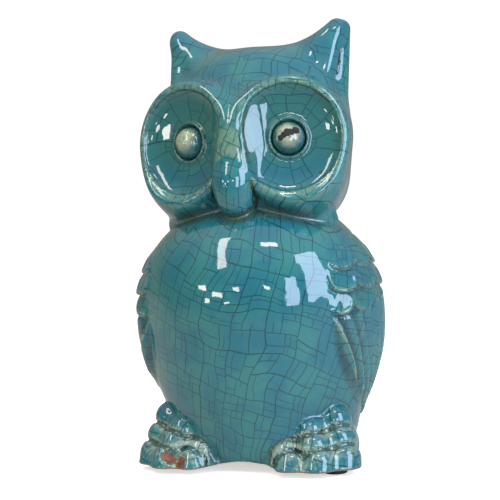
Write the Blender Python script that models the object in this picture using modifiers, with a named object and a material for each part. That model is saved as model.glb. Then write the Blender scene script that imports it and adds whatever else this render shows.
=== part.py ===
"""Owl coin bank: a hollow shell of glazed clay, two applied eye beads, a rubber stopper and four pads.

The owl faces -Y, its own left side is +X, and it stands on the plane z = 0. The origin is the middle
of that plane, under the middle of the owl's box. Sizes are written in millimetres, and MM turns them
into metres.
"""

import math

import bmesh
import bpy
from mathutils import Matrix, Vector

MM = 0.001

# Driving dimensions, in millimetres.
HEIGHT = 228.5  # floor to ear tips
NECK_HEIGHT = 125.0
WALL = 5.5  # slip-cast wall
GAP = 0.3  # clearance between neighbouring pieces
PAD_HEIGHT = 3.0
PAD_RADIUS = 6.0
PAD_CHAMFER = 1.0
PAD_PLACES = {
    "front_left_pad": (46, -30),
    "front_right_pad": (-46, -30),
    "rear_left_pad": (24, 27),
    "rear_right_pad": (-24, 27),
}
ARCH_TOP = 6.0  # underside between the feet
ARCH_WIDTH = 20.0
FLOOR_TOP = 12.5  # inner face of the base
DISC_CENTRE = Vector((28.3, -31.8, 168))  # middle of the left disc's rim plane
DISC_YAW = math.radians(17)  # each disc is turned this far outwards
DISC_PITCH = math.radians(4)  # and this far upwards
DISC_RADIUS = 30.0  # half its height
DISC_NARROWING = 0.95  # its width is this much of its height
DISC_DEPTH = 15.0
DISH_RADIUS = 26.0
DISH_DEPTH = 6.0
BEAD_RADIUS = 8.5
BEAD_HEIGHT = 6.0  # above the dish
SOCKET_DEPTH = 2.5
SLOT_WIDTH = 38.0
SLOT_OPENING = 6.0
SLOT_HEIGHT = 186.0  # above the floor, on the back of the head
SLOT_START = 15.0  # how far back the slot's cutter starts, in the hollow of the head
HOLE_RADIUS = 16.0
SEAT_RADIUS = 23.0  # recess round the hole, for the stopper's flange
SEAT_TOP = ARCH_TOP + 1.0
FLANGE_RADIUS = 20.5
FLANGE_THICKNESS = 2.2
STOPPER_TOP = 17.0
STOPPER_WALL = 2.5
STOPPER_CHAMFER = 0.6
RIB_HEIGHTS = (14.5, 10.5)
RIB_DEPTH = 0.9

# The solid form, as ellipsoids: centre, radii, and yaw in degrees.
TRUNK = {
    "belly": ((0, 0, 74), (57.5, 54, 83), 0),
    "base": ((0, -2, 20), (53, 48, 30), 0),
    "nape": ((0, 3, 140), (46, 34, 32), 0),
    "head": ((0, 0, 168), (51, 34, 46), 0),
    "crown": ((0, 3, 197), (34, 22, 17), 0),
    "beak": ((0, -33, 149), (11, 13, 21), 0),
    "bridge": ((0, -33, 172), (6, 9, 24), 0),
}
# The owl's left side, which is mirrored.
SIDE = {
    "cheek": ((26, -18, 145), (27, 19, 22), 10),
    "wing": ((46.5, 3, 77), (18, 37, 45), 6),
    "wing_tip": ((40, 13, 45), (17, 28, 25), 12),
    "foot": ((37, -14, 12), (22, 25, 17), 0),
    "inner_toe": ((22.5, -34, 11), (8, 16, 13), -6),
    "middle_toe": ((36, -34, 11), (8.5, 17, 14), 0),
    "outer_toe": ((48.5, -28, 11), (8, 16, 13), 8),
}
# Cones, as the ends of their axes and the radii there. They are mirrored too.
EAR_OUTER = ((39, 2, 182), (45, 11, 227), 14, 5)
EAR_INNER = ((13, 4, 203), (43, 11, 225), 13.5, 6)
EAR_FRONT = ((29, -10, 192), (44, 8, 223), 14, 4.5)

# How finely the shapes are made.
VOXEL = 2.0
SMOOTH_TURNS = 6
OUTER_TRIANGLES = 3600
HOLLOW_VOXEL = 4.0
HOLLOW_SHARE_KEPT = 0.06  # of the hollow's triangles
DISC_SEGMENTS = 40
DISH_SEGMENTS = 28
DISH_RINGS = 10
STOPPER_STEPS = 32
SMALL_STEPS = 24  # round a bead or a pad
DOME_STEPS = 5

# Cutters.
BEYOND = 90.0  # half the width of a cutter that is wider than the owl
PAST = 10.0  # how far any other cutter goes past the face that it opens

# The hollow inside, as ellipsoids with the same wall all round the belly.
HOLLOW = {
    "belly_hollow": ((0, 0, 74), (57.5 - WALL, 54 - WALL, 83 - WALL), 0),
    "neck_hollow": ((0, 4, 133), (31, 26, 30), 0),
    "head_hollow": ((0, 4.5, 168), (44, 23.5, 40), 0),
}

EYES = ((1, "left"), (-1, "right"))

# Base colour, roughness and metallic value.
COLOURS = {
    "glaze": ((0.05, 0.36, 0.40, 1.0), 0.12, 0.0),
    "rubber": ((0.02, 0.02, 0.02, 1.0), 0.75, 0.0),
    "stopper_rubber": ((0.06, 0.06, 0.06, 1.0), 0.6, 0.0),
}


def clear_scene():
    for thing in list(bpy.data.objects):
        bpy.data.objects.remove(thing, do_unlink=True)


def make_collection(name):
    collection = bpy.data.collections.new(name)
    bpy.context.scene.collection.children.link(collection)
    return collection


def make_material(name):
    colour, roughness, metallic = COLOURS[name]
    material = bpy.data.materials.new(name)
    material.use_nodes = True
    shader = material.node_tree.nodes["Principled BSDF"]
    shader.inputs["Base Color"].default_value = colour
    shader.inputs["Roughness"].default_value = roughness
    shader.inputs["Metallic"].default_value = metallic
    material.diffuse_color = colour
    return material


def make_object(name, mesh_data, collection, material=None):
    made = bpy.data.objects.new(name, mesh_data)
    collection.objects.link(made)
    if material:
        mesh_data.materials.append(material)
    return made


def make_cutter(name, mesh_data, collection):
    cutter = make_object(name, mesh_data, collection)
    cutter.hide_render = True
    cutter.display_type = "WIRE"
    return cutter


def add_ellipsoid(target, centre, radii, yaw, segments=32, rings=18):
    """An ellipsoid added to a bmesh. A yaw above 0 turns its front, -Y, towards +X."""
    place = (
        Matrix.Translation(Vector(centre) * MM)
        @ Matrix.Rotation(math.radians(yaw), 4, "Z")
        @ Matrix.Diagonal(Vector(radii) * MM).to_4x4()
    )
    bmesh.ops.create_uvsphere(target, u_segments=segments, v_segments=rings, radius=1, matrix=place)


def add_cone(target, foot, tip, foot_radius, tip_radius, segments=24):
    """A closed cone with flat ends, from foot to tip, each with its own radius."""
    along = tip - foot
    turn = Vector((0, 0, 1)).rotation_difference(along).to_matrix().to_4x4()
    place = Matrix.Translation((foot + tip) / 2 * MM) @ turn
    bmesh.ops.create_cone(
        target,
        cap_ends=True,
        segments=segments,
        radius1=foot_radius * MM,
        radius2=tip_radius * MM,
        depth=along.length * MM,
        matrix=place,
    )


def mesh_from(shape, name):
    made = bpy.data.meshes.new(name)
    shape.to_mesh(made)
    shape.free()
    return made


def solid_form():
    """The owl without its hollow, as overlapping closed shapes."""
    shape = bmesh.new()
    for centre, radii, yaw in TRUNK.values():
        add_ellipsoid(shape, centre, radii, yaw)
    for side in (1, -1):
        flip = Vector((side, 1, 1))
        for centre, radii, yaw in SIDE.values():
            add_ellipsoid(shape, Vector(centre) * flip, radii, yaw * side)
        for foot, tip, foot_radius, tip_radius in (EAR_OUTER, EAR_INNER, EAR_FRONT):
            add_cone(shape, Vector(foot) * flip, Vector(tip) * flip, foot_radius, tip_radius)
        narrow = Matrix.Diagonal((DISC_NARROWING, 1, 1, 1))
        middle = Matrix.Translation((0, 0, -DISC_DEPTH / 2 * MM))
        bmesh.ops.create_cone(
            shape,
            cap_ends=True,
            segments=DISC_SEGMENTS,
            radius1=DISC_RADIUS * MM,
            radius2=DISC_RADIUS * MM,
            depth=DISC_DEPTH * MM,
            matrix=eye_place(side) @ narrow @ middle,
        )
    return mesh_from(shape, "ceramic_shell")


def bake(thing):
    """Puts the object's modifiers into its mesh."""
    graph = bpy.context.evaluated_depsgraph_get()
    baked = bpy.data.meshes.new_from_object(thing.evaluated_get(graph))
    thing.modifiers.clear()
    thing.data = baked


def melt_together(shell):
    """Makes the overlapping shapes one skin, rounds the creases between them, and thins its triangles out."""
    remesh = shell.modifiers.new("one_skin", "REMESH")
    remesh.mode = "VOXEL"
    remesh.voxel_size = VOXEL * MM
    smooth = shell.modifiers.new("round_creases", "SMOOTH")
    smooth.factor = 0.5
    smooth.iterations = SMOOTH_TURNS
    bake(shell)
    fit_height(shell.data)
    triangles = sum(len(face.vertices) - 2 for face in shell.data.polygons)
    decimate = shell.modifiers.new("fewer_triangles", "DECIMATE")
    decimate.ratio = OUTER_TRIANGLES / triangles
    decimate.use_symmetry = False
    bake(shell)


def fit_height(mesh_data):
    """Rounding draws the ear tips in, so what is above the neck is stretched to the full height."""
    neck = NECK_HEIGHT * MM
    top = max(vertex.co.z for vertex in mesh_data.vertices)
    stretch = (HEIGHT * MM - neck) / (top - neck)
    for vertex in mesh_data.vertices:
        if vertex.co.z > neck:
            vertex.co.z = neck + (vertex.co.z - neck) * stretch


def box_mesh(name, low, high):
    low, high = Vector(low), Vector(high)
    shape = bmesh.new()
    place = Matrix.Translation((low + high) / 2 * MM) @ Matrix.Diagonal((high - low) * MM).to_4x4()
    bmesh.ops.create_cube(shape, size=1, matrix=place)
    return mesh_from(shape, name)


def drum_mesh(name, radius, low, high, segments=48):
    """An upright cylinder on the Z axis."""
    shape = bmesh.new()
    add_cone(shape, Vector((0, 0, low)), Vector((0, 0, high)), radius, radius, segments)
    return mesh_from(shape, name)


def hollow_mesh():
    """Belly, neck and head hollows in one mesh, made one body by the remesh that follows."""
    shape = bmesh.new()
    for centre, radii, yaw in HOLLOW.values():
        add_ellipsoid(shape, centre, radii, yaw)
    return mesh_from(shape, "hollow")


def eye_place(side):
    """The frame of a disc: origin at the middle of its rim plane, local Z out of the face."""
    centre = Vector((DISC_CENTRE.x * side, DISC_CENTRE.y, DISC_CENTRE.z)) * MM
    yaw = Matrix.Rotation(DISC_YAW * side, 4, "Z")
    upright = Matrix.Rotation(math.pi / 2 - DISC_PITCH, 4, "X")
    return Matrix.Translation(centre) @ yaw @ upright


def dish_mesh(name):
    """The shallow dish inside a disc's rim: a flat ellipsoid whose lower half is the cut."""
    shape = bmesh.new()
    radii = (DISH_RADIUS * DISC_NARROWING, DISH_RADIUS, DISH_DEPTH)
    add_ellipsoid(shape, (0, 0, 0), radii, 0, DISH_SEGMENTS, DISH_RINGS)
    return mesh_from(shape, name)


def turned(name, profile, collection, material, steps):
    """A body turned about its own Z. The profile runs down its outer side, as (radius, height)."""
    mesh_data = bpy.data.meshes.new(name)
    points = [(radius * MM, 0, height * MM) for radius, height in profile]
    mesh_data.from_pydata(points, [(i, i + 1) for i in range(len(points) - 1)], [])
    made = make_object(name, mesh_data, collection, material)
    screw = made.modifiers.new("turn", "SCREW")
    screw.steps = steps
    screw.render_steps = steps
    screw.use_merge_vertices = True
    screw.merge_threshold = 0.00001
    screw.use_smooth_shade = True
    return made


def bead_profile():
    """A dome over the dish, and a short straight foot that fills the socket below it."""
    dome = []
    for step in range(DOME_STEPS + 1):
        angle = math.pi / 2 * step / DOME_STEPS
        dome.append((BEAD_RADIUS * math.sin(angle), BEAD_HEIGHT * math.cos(angle) - DISH_DEPTH))
    foot = -DISH_DEPTH - SOCKET_DEPTH + GAP
    return dome + [(BEAD_RADIUS, foot), (0, foot)]


def stopper_profile():
    """A cup with a flange below and two shallow ribs round its neck."""
    rib = HOLE_RADIUS - GAP
    neck = rib - RIB_DEPTH
    cup = neck - STOPPER_WALL
    flange_top = SEAT_TOP - GAP
    flange_low = flange_top - FLANGE_THICKNESS
    chamfer = STOPPER_CHAMFER
    profile = [(0, flange_top), (cup - chamfer, flange_top), (cup, flange_top + chamfer)]
    profile += [(cup, STOPPER_TOP), (neck - chamfer, STOPPER_TOP)]
    for height in RIB_HEIGHTS:
        profile += [(neck, height + RIB_DEPTH), (rib, height), (neck, height - RIB_DEPTH)]
    profile += [(neck, flange_top), (FLANGE_RADIUS - chamfer, flange_top)]
    profile += [(FLANGE_RADIUS, flange_top - chamfer), (FLANGE_RADIUS, flange_low + chamfer)]
    return profile + [(FLANGE_RADIUS - chamfer, flange_low), (0, flange_low)]


def cut(target, cutter, name):
    boolean = target.modifiers.new(name, "BOOLEAN")
    boolean.operation = "DIFFERENCE"
    boolean.solver = "EXACT"
    boolean.object = cutter


def make_hollow(cutters):
    """The cutter for the space inside: one skin round the hollows, cut flat at the bank's floor."""
    hollow = make_cutter("hollow", hollow_mesh(), cutters)
    remesh = hollow.modifiers.new("one_skin", "REMESH")
    remesh.mode = "VOXEL"
    remesh.voxel_size = HOLLOW_VOXEL * MM
    decimate = hollow.modifiers.new("fewer_triangles", "DECIMATE")
    decimate.ratio = HOLLOW_SHARE_KEPT
    kept = box_mesh("floor_kept", (-BEYOND, -BEYOND, -BEYOND), (BEYOND, BEYOND, FLOOR_TOP))
    cut(hollow, make_cutter("floor_kept", kept, cutters), "leave_the_floor")
    bake(hollow)
    return hollow


def make_base_cutters(cutters):
    """The ground plane, the arch between the feet, and the stopper's hole with its seat."""
    ground = box_mesh("ground", (-BEYOND, -BEYOND, -BEYOND), (BEYOND, BEYOND, PAD_HEIGHT))
    arch = box_mesh("arch", (-ARCH_WIDTH / 2, -BEYOND, -PAST), (ARCH_WIDTH / 2, 0, ARCH_TOP))
    seat = drum_mesh("stopper_seat", SEAT_RADIUS, -PAST, SEAT_TOP)
    hole = drum_mesh("stopper_hole", HOLE_RADIUS, 0, FLOOR_TOP + PAST)
    return [make_cutter(shape.name, shape, cutters) for shape in (ground, arch, seat, hole)]


def make_slot_cutter(cutters):
    low = (-SLOT_WIDTH / 2, SLOT_START, SLOT_HEIGHT - SLOT_OPENING / 2)
    high = (SLOT_WIDTH / 2, BEYOND, SLOT_HEIGHT + SLOT_OPENING / 2)
    return make_cutter("coin_slot", box_mesh("coin_slot", low, high), cutters)


def make_eye_cutters(side, label, cutters):
    """An eye's dish, and the socket that the bead sits in."""
    dish = make_cutter(f"{label}_dish", dish_mesh(f"{label}_dish"), cutters)
    socket = drum_mesh(f"{label}_socket", BEAD_RADIUS + GAP, -DISH_DEPTH - SOCKET_DEPTH, PAST)
    socket = make_cutter(f"{label}_socket", socket, cutters)
    for cutter in (dish, socket):
        cutter.matrix_world = eye_place(side)
    return [dish, socket]


def make_shell(parts, cutters):
    shell = make_object("ceramic_shell", solid_form(), parts, make_material("glaze"))
    melt_together(shell)
    openings = [make_hollow(cutters), *make_base_cutters(cutters), make_slot_cutter(cutters)]
    for side, label in EYES:
        openings += make_eye_cutters(side, label, cutters)
    for cutter in openings:
        cut(shell, cutter, cutter.name)


def make_beads(parts):
    for side, label in EYES:
        bead = turned(f"{label}_eye_bead", bead_profile(), parts, make_material("glaze"), SMALL_STEPS)
        bead.matrix_world = eye_place(side)


def make_stopper(parts):
    turned("stopper", stopper_profile(), parts, make_material("stopper_rubber"), STOPPER_STEPS)


def make_pads(parts):
    top = PAD_HEIGHT - GAP
    profile = [(0, top), (PAD_RADIUS - PAD_CHAMFER, top), (PAD_RADIUS, top - PAD_CHAMFER)]
    profile += [(PAD_RADIUS, 0), (0, 0)]
    for name, (x, y) in PAD_PLACES.items():
        pad = turned(name, profile, parts, make_material("rubber"), SMALL_STEPS)
        pad.location = (x * MM, y * MM, 0)


def main():
    clear_scene()
    parts = make_collection("owl_coin_bank")
    cutters = make_collection("cutters")
    make_shell(parts, cutters)
    make_beads(parts)
    make_stopper(parts)
    make_pads(parts)


main()
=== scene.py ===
"""Looks for the owl coin bank: the glazed shell with its feathers and toes, the eye beads and the rubber.

The shell is worked out as a distance field. Every form is a function of points that says how far each point
is from its surface, the forms melt into each other with rounded creases, and the mesh is drawn from that
field. Sizes are in millimetres, in the CAD part's frame: the owl faces -Y, its left is +X, floor at z = 0.
"""

import math

import bmesh
import bpy
import numpy as np
from mathutils import Matrix, Vector


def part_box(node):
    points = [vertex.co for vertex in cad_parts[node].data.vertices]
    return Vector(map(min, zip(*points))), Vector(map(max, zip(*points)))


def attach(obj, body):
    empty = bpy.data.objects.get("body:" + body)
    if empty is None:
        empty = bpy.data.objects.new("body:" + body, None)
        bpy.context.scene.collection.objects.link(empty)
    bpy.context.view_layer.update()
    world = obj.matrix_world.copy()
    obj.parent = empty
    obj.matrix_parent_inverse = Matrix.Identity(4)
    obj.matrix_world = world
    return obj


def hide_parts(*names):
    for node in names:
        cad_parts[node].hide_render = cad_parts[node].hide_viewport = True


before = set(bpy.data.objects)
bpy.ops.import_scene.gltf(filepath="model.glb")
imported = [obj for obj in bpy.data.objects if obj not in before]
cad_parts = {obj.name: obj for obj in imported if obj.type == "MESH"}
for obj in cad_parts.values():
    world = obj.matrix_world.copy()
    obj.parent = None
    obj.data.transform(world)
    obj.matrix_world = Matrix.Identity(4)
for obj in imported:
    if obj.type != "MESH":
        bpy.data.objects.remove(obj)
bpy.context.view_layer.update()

MM = 0.001

# Places shared with the CAD part.
PAD_HEIGHT = 3.0
ARCH_RISE = 3.0  # how much higher the underside is between the feet
FLOOR_TOP = 12.5  # the floor of the hollow
SEAT_TOP = 7.0
SEAT_RADIUS = 23.0
HOLE_RADIUS = 16.0
SLOT_HALF_WIDTH = 19.0
SLOT_HALF_OPENING = 3.0
SLOT_HEIGHT = 186.0
DISC_CENTRE = np.array([28.3, -31.8, 168.0])
DISC_YAW = math.radians(17)
DISC_PITCH = math.radians(4)
DISC_NARROWING = 0.97
BEAD_RADIUS = 8.2
LIP_RADIUS = 10.0
SOCKET_BOTTOM = -7.8
DISH_DEPTH = 6.0


# ---- distance field tools


def length(vectors):
    return np.sqrt(np.einsum("ij,ij->i", vectors, vectors))


def step(values, low, high):
    """0 below low, 1 above high and a smooth step between them."""
    share = np.clip((values - low) / (high - low), 0.0, 1.0)
    return share * share * (3 - 2 * share)


def fall(values, low, high):
    """1 below low, 0 above high and a smooth step between them."""
    return step(-values, -high, -low)


def melt(a, b, width):
    """The union of two forms, with the crease between them rounded over this width."""
    near = np.maximum(width - np.abs(a - b), 0.0) / width
    return np.minimum(a, b) - near * near * width * 0.25


def carve(a, b, width):
    """Form a without form b, with the edge rounded over this width."""
    return -melt(-a, b, width)


def turned(points, yaw):
    """Points seen from a frame turned by yaw: a yaw above 0 turns the frame's front, -Y, towards +X."""
    c, s = math.cos(yaw), math.sin(yaw)
    out = points.copy()
    out[:, 0] = c * points[:, 0] + s * points[:, 1]
    out[:, 1] = c * points[:, 1] - s * points[:, 0]
    return out


def mirrored(points):
    """Points with the right half folded onto the left, so that a form made once is there on both sides."""
    out = points.copy()
    out[:, 0] = np.abs(out[:, 0])
    return out


def ellipsoid(points, centre, radii, yaw=0.0):
    q = points - np.asarray(centre, np.float32)
    if yaw:
        q = turned(q, math.radians(yaw))
    radii = np.asarray(radii, np.float32)
    scaled = length(q / radii)
    steep = length(q / radii**2)
    return scaled * (scaled - 1.0) / np.maximum(steep, 1e-6)


def with_ellipsoids(d, points, more):
    """Form d with more ellipsoids melted into it, each over its own width."""
    for shape, width in more:
        d = melt(d, ellipsoid(points, *shape), width)
    return d


def rod(points, start, end, start_radius, end_radius):
    """A rod with round ends whose radius runs from one value to the other."""
    start = np.asarray(start, np.float32)
    along = np.asarray(end, np.float32) - start
    q = points - start
    share = np.clip(q @ along / (along @ along), 0.0, 1.0)
    return length(q - share[:, None] * along) - (start_radius + (end_radius - start_radius) * share)


def past_faces(q):
    """Distance to a form with square edges, from how far each point is past each pair of its faces."""
    return length(np.maximum(q, 0.0)) + np.minimum(q.max(axis=1), 0.0)


def box(points, low, high):
    low, high = np.asarray(low, np.float32), np.asarray(high, np.float32)
    return past_faces(np.abs(points - (low + high) / 2) - (high - low) / 2)


def drum(points, radius, low, high):
    """An upright cylinder about the Z axis."""
    around = np.hypot(points[:, 0], points[:, 1]) - radius
    upright = np.abs(points[:, 2] - (low + high) / 2) - (high - low) / 2
    return past_faces(np.stack([around, upright], axis=1))


def ring(q, radius, height, thickness):
    """A round ring about the third axis, where thickness is the radius of its section."""
    around = np.hypot(q[:, 0], q[:, 1]) - radius
    return np.hypot(around, q[:, 2] - height) - thickness


def balls(points, places):
    """Distance to the nearest of some balls, each a centre and a radius."""
    return np.minimum.reduce([length(points - np.asarray(c, np.float32)) - r for c, r in places])


# ---- the body and head

# Ellipsoids: centre, radii and, where it has one, yaw in degrees. One with X above 0 has a twin on the right.
BELLY = ((0.0, 0.0, 69.4), (63.0, 52.8, 61.4))
CHEST = ((0.0, -9.0, 98.0), (53.8, 42.8, 35.5))
BASE = ((0.0, -3.0, 45.0), (50.0, 46.0, 60.0))
BACK = ((0.0, 8.0, 100.0), (42.0, 38.0, 38.0))
SEAT_BACK = ((0.0, 4.0, 18.0), (44.5, 43.0, 29.0))
NAPE = ((0.0, 1.5, 145.3), (47.8, 34.3, 29.9))
NECK = ((0.0, -11.0, 125.5), (46.3, 17.5, 16.0))
HEAD = ((0.0, 0.0, 169.8), (51.8, 34.0, 42.5))
CROWN = ((0.0, 2.8, 200.5), (36.9, 22.0, 15.8))
TEMPLE = ((34.0, -9.6, 164.8), (15.0, 26.7, 32.4), 10.0)
CHEEK = ((29.2, -19.6, 150.6), (23.6, 21.2, 22.6), 10.0)
WING = ((49.2, -0.2, 75.1), (10.6, 34.6, 39.4), 6.0)
WING_TIP = ((39.1, 9.7, 45.6), (10.1, 27.4, 24.6), 12.0)
FOOT = ((34.4, -14.1, 10.8), (18.5, 25.0, 16.5))
BROW = ((0.0, -21.5, 172.0), (22.0, 15.0, 25.0))
BEAK = ((0.0, -33.0, 143.5), (10.8, 13.0, 16.0))
HOLLOW_BELLY = ((0.0, 0.0, 74.0), (52.0, 48.5, 77.5))
HOLLOW_NECK = ((0.0, 4.0, 133.0), (31.0, 26.0, 30.0))
HOLLOW_HEAD = ((0.0, 4.5, 168.0), (44.0, 23.5, 40.0))

# Rods: start, end and the radius at each.
EAR_INNER = ((12.0, 4.7, 203.2), (43.5, 10.7, 221.0), 12.2, 3.8)
EAR_FACE = ((26.0, -3.0, 200.0), (43.9, 7.0, 224.2), 9.0, 4.8)
EAR_FRONT = ((37.4, -8.8, 187.5), (43.6, 4.6, 220.5), 6.7, 3.8)
EAR_BAND = ((38.9, 9.6, 183.0), (45.4, 10.2, 224.0), 8.5, 4.8)
BRIDGE = ((0.0, -31.0, 178.0), (0.0, -34.2, 149.0), 6.5, 10.4)

# Grooves between two forms, by the radius of their section, and the heights where they run out.
EAR_GROOVE = 0.9
EAR_GROOVE_END = (207.0, 217.0)
BEAK_GROOVE = 0.9
BEAK_GROOVE_END = (142.0, 152.0)
BRIDGE_START = (148.0, 166.0)  # the heights where the beak's sharp sides pass into its soft bridge

DISC_RADIUS = 29.8
DISC_EDGE = 2.5
DISC_BACK = 22.0
DISC_FRONT = -1.5  # the front of the disc's plate, behind the disc's plane
RIM_RADIUS = 28.6
RIM_THICKNESS = 2.3
DISH_RADIUS = 27.0
LIP_RISE = 1.5
LIP_THICKNESS = 0.75
SOCKET_GAP = 0.3

# Each toe's front lobe: across, depth, and the height of the lobe in each of the foot's three tiers.
TOES = (
    ((26.2, -40.8), (5.2, 9.8, 14.8)),
    ((40.0, -40.3), (6.0, 13.3, 20.3)),
    ((50.4, -31.4), (7.3, 15.8, 25.3)),
)
TIER_RADII = (9.4, 9.4, 9.0)
TIER_STEP = (-3.0, 3.6)  # how far each tier stands in and back from the one below it
LOBE_LEAN = 1.0
LOBE_TAPER = 0.95
TIER_CHANNEL = 0.8

# The chip in the right foot's middle toe, as balls.
TOE_CHIP = (((-38.2, -47.8, 10.0), 3.2), ((-34.8, -48.6, 8.8), 3.9), ((-31.2, -49.2, 7.0), 3.9))
TOE_CHIP_DEPTH = 0.8


def disc_axes():
    """The left disc's own axes as rows: across, up and out of the face."""
    across = np.array([math.cos(DISC_YAW), math.sin(DISC_YAW), 0.0])
    tilt = math.cos(DISC_PITCH)
    out = np.array([math.sin(DISC_YAW) * tilt, -math.cos(DISC_YAW) * tilt, math.sin(DISC_PITCH)])
    return np.array([across, np.cross(out, across), out])


def in_disc(half):
    """Points in the disc's frame, stretched across so that the oval disc becomes round."""
    q = (half - DISC_CENTRE.astype(np.float32)) @ disc_axes().T.astype(np.float32)
    q[:, 0] /= DISC_NARROWING
    return q


def head_form(points, half):
    d = with_ellipsoids(ellipsoid(points, *HEAD), points, ((NAPE, 10), (NECK, 6), (CROWN, 10), (BROW, 8)))
    return with_ellipsoids(d, half, ((TEMPLE, 8), (CHEEK, 8)))


def ear_form(half):
    """One ear: an inner slope, a hollowed face, a front ridge, and an outer band behind a groove."""
    d = melt(rod(half, *EAR_INNER), rod(half, *EAR_FACE), 8)
    d = melt(d, rod(half, *EAR_FRONT), 4)
    band = rod(half, *EAR_BAND)
    groove = EAR_GROOVE * fall(half[:, 2], *EAR_GROOVE_END) - np.hypot(d, band)
    return np.maximum(melt(d, band, 1.0), groove)


def disc_form(q):
    """The eye's disc before its dish is cut: a short drum with a soft raised rim."""
    around = np.hypot(q[:, 0], q[:, 1]) - (DISC_RADIUS - DISC_EDGE)
    deep = np.abs(q[:, 2] + DISC_BACK / 2) - (DISC_BACK / 2 + DISC_FRONT - DISC_EDGE)
    plate = past_faces(np.stack([around, deep], axis=1)) - DISC_EDGE
    return melt(plate, ring(q, RIM_RADIUS, -RIM_THICKNESS, RIM_THICKNESS), 5)


def face_cut(q):
    """The space in front of the disc, so that no cheek or brow comes over its rim."""
    return np.maximum(np.hypot(q[:, 0], q[:, 1]) - (RIM_RADIUS + RIM_THICKNESS), -q[:, 2] - RIM_THICKNESS)


def dish_cut(q):
    return ellipsoid(q, (0, 0, 0), (DISH_RADIUS, DISH_RADIUS, DISH_DEPTH))


def eye_lip(q):
    """The thin lip that stands round the eye bead."""
    return ring(q, LIP_RADIUS, LIP_RISE - DISH_DEPTH, LIP_THICKNESS)


def eye_socket(points):
    """The round socket that an eye bead sits in."""
    q = in_disc(mirrored(points))
    around = np.hypot(q[:, 0] * DISC_NARROWING, q[:, 1]) - (BEAD_RADIUS + SOCKET_GAP)
    return np.maximum(around, np.abs(q[:, 2]) + SOCKET_BOTTOM)


def beak_form(points):
    return melt(ellipsoid(points, *BEAK), rod(points, *BRIDGE), 6)


def foot_form(half):
    """A foot of three tiers, each with a lobe for every toe, and a channel where one tier meets the next."""
    d = ellipsoid(half, *FOOT)
    for level in (2, 1, 0):
        radius = TIER_RADII[level]
        tier = None
        for (toe_x, toe_y), heights in TOES:
            x, y = toe_x + level * TIER_STEP[0], toe_y + level * TIER_STEP[1]
            top = (x, y + LOBE_LEAN, heights[level])
            lobe = rod(half, (x, y - LOBE_LEAN, 0), top, radius, radius * LOBE_TAPER)
            tier = lobe if tier is None else melt(tier, lobe, 5)
        channel = np.hypot(d, tier) - TIER_CHANNEL
        d = np.maximum(np.minimum(d, tier), -channel)
    return d


# ---- the wings' feathers

WING_AXIS = 3.0  # the depth of the upright axis that the wing's angles are measured round
FEATHER_DEPTH = 1.9
SCALE_ROWS = ((53.0, 86.5), (57.0, 97.5), (58.5, 108.5))  # each row's first scale: angle and height
SCALE_COUNT = 5
SCALE_TURN = 15.7  # degrees from one scale to the next
SCALE_CLIMB = 0.8
SCALE_HALF_TURN = 8.6
SCALE_HALF_HEIGHT = 7.4
WING_PART = (30, 50, 24, 128)  # where feathers may be: least X, greatest Y, least Z and greatest Z


def wing_form(half):
    return melt(ellipsoid(half, *WING), ellipsoid(half, *WING_TIP), 8)


def wing_edges(height):
    """The angles, in degrees round from the front, between which the wing has feathers. They come together
    towards the wing's tip and the shoulder."""
    tip = np.clip((66 - height) / 34, 0, 1.2) ** 1.6
    shoulder = np.clip((height - 100) / 18, 0, 1.2) ** 1.5
    quills_back = 3.5 * fall(height, 68.0, 88.0)
    return 49.5 + quills_back + 31 * tip + 22 * shoulder, 134 - 25 * tip - 34 * shoulder


def scales(angle, height):
    """Rows of round scale feathers, each row lying on the one below, as a share of the feathers' depth."""
    relief = np.zeros_like(angle)
    for row, (start, level) in enumerate(SCALE_ROWS):
        for k in range(SCALE_COUNT):
            across = (angle - start - SCALE_TURN * k) / SCALE_HALF_TURN
            upright = (height - level - SCALE_CLIMB * k) / SCALE_HALF_HEIGHT
            around = np.hypot(across, upright)
            lip = np.exp(-(((around - 0.84) / 0.15) ** 2)) * fall(upright, -0.2, 0.6)
            top = 0.4 + 0.2 * row - 0.4 * upright + 0.6 * lip
            relief = np.maximum(relief, top * fall(around, 0.96, 1.08))
    return relief


def quills(angle, height):
    """Long feathers that run together towards the wing's tip, each with one edge over its neighbour."""
    share = np.clip((height - 32) / 54, 0, 1) ** 0.7
    lane = (angle - (80 - 30.5 * share)) / (4.0 + 3.9 * share)
    along = lane - np.floor(lane)
    edge = 0.1 + 0.95 * along**1.3
    return (0.1 + edge * fall(along, 0.8, 1.0)) * step(along, 0.0, 0.15)


def wing_relief(half):
    """The feathers, as a height in millimetres to add to the wing's surface."""
    relief = np.zeros(len(half), np.float32)
    x, y, z = half.T
    least_x, greatest_y, least_z, greatest_z = WING_PART
    near = (x > least_x) & (y < greatest_y) & (z > least_z) & (z < greatest_z)
    height = z[near]
    angle = np.degrees(np.arctan2(x[near], WING_AXIS - y[near]))
    start, end = wing_edges(height)
    inside = step(angle, start - 1.0, start + 2.5) * fall(angle, end - 2.5, end + 1.0)
    upper = step(height - 0.18 * (angle - 50), 76.0, 80.0)
    feathers = upper * scales(angle, height) + (1 - upper) * quills(angle, height)
    relief[near] = inside * (FEATHER_DEPTH * (1 - 0.4 * step(height, 92.0, 108.0)) * feathers - 0.4)
    return relief


# ---- the whole shell

WALL = 5.0  # the least wall that the hollow leaves
ARCH_HALF_WIDTH = 13.0
ARCH_BACK = 10.0  # the depth where the arch starts
ARCH_LENGTH = 30.0  # how much further forward it reaches its full height
SLOT_FRONT = 15.0
SLOT_BACK = 60.0
BELOW = -20.0  # the lower end of a cut that is open below
HOLE_TOP = FLOOR_TOP + 5.0  # the upper end of the hole's cut, inside the hollow


def body_form(points, half):
    d = ellipsoid(points, *BELLY)
    d = with_ellipsoids(d, points, ((CHEST, 26), (BASE, 12), (BACK, 12), (SEAT_BACK, 12)))
    return melt(d, wing_form(half), 3) - wing_relief(half)


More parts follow.
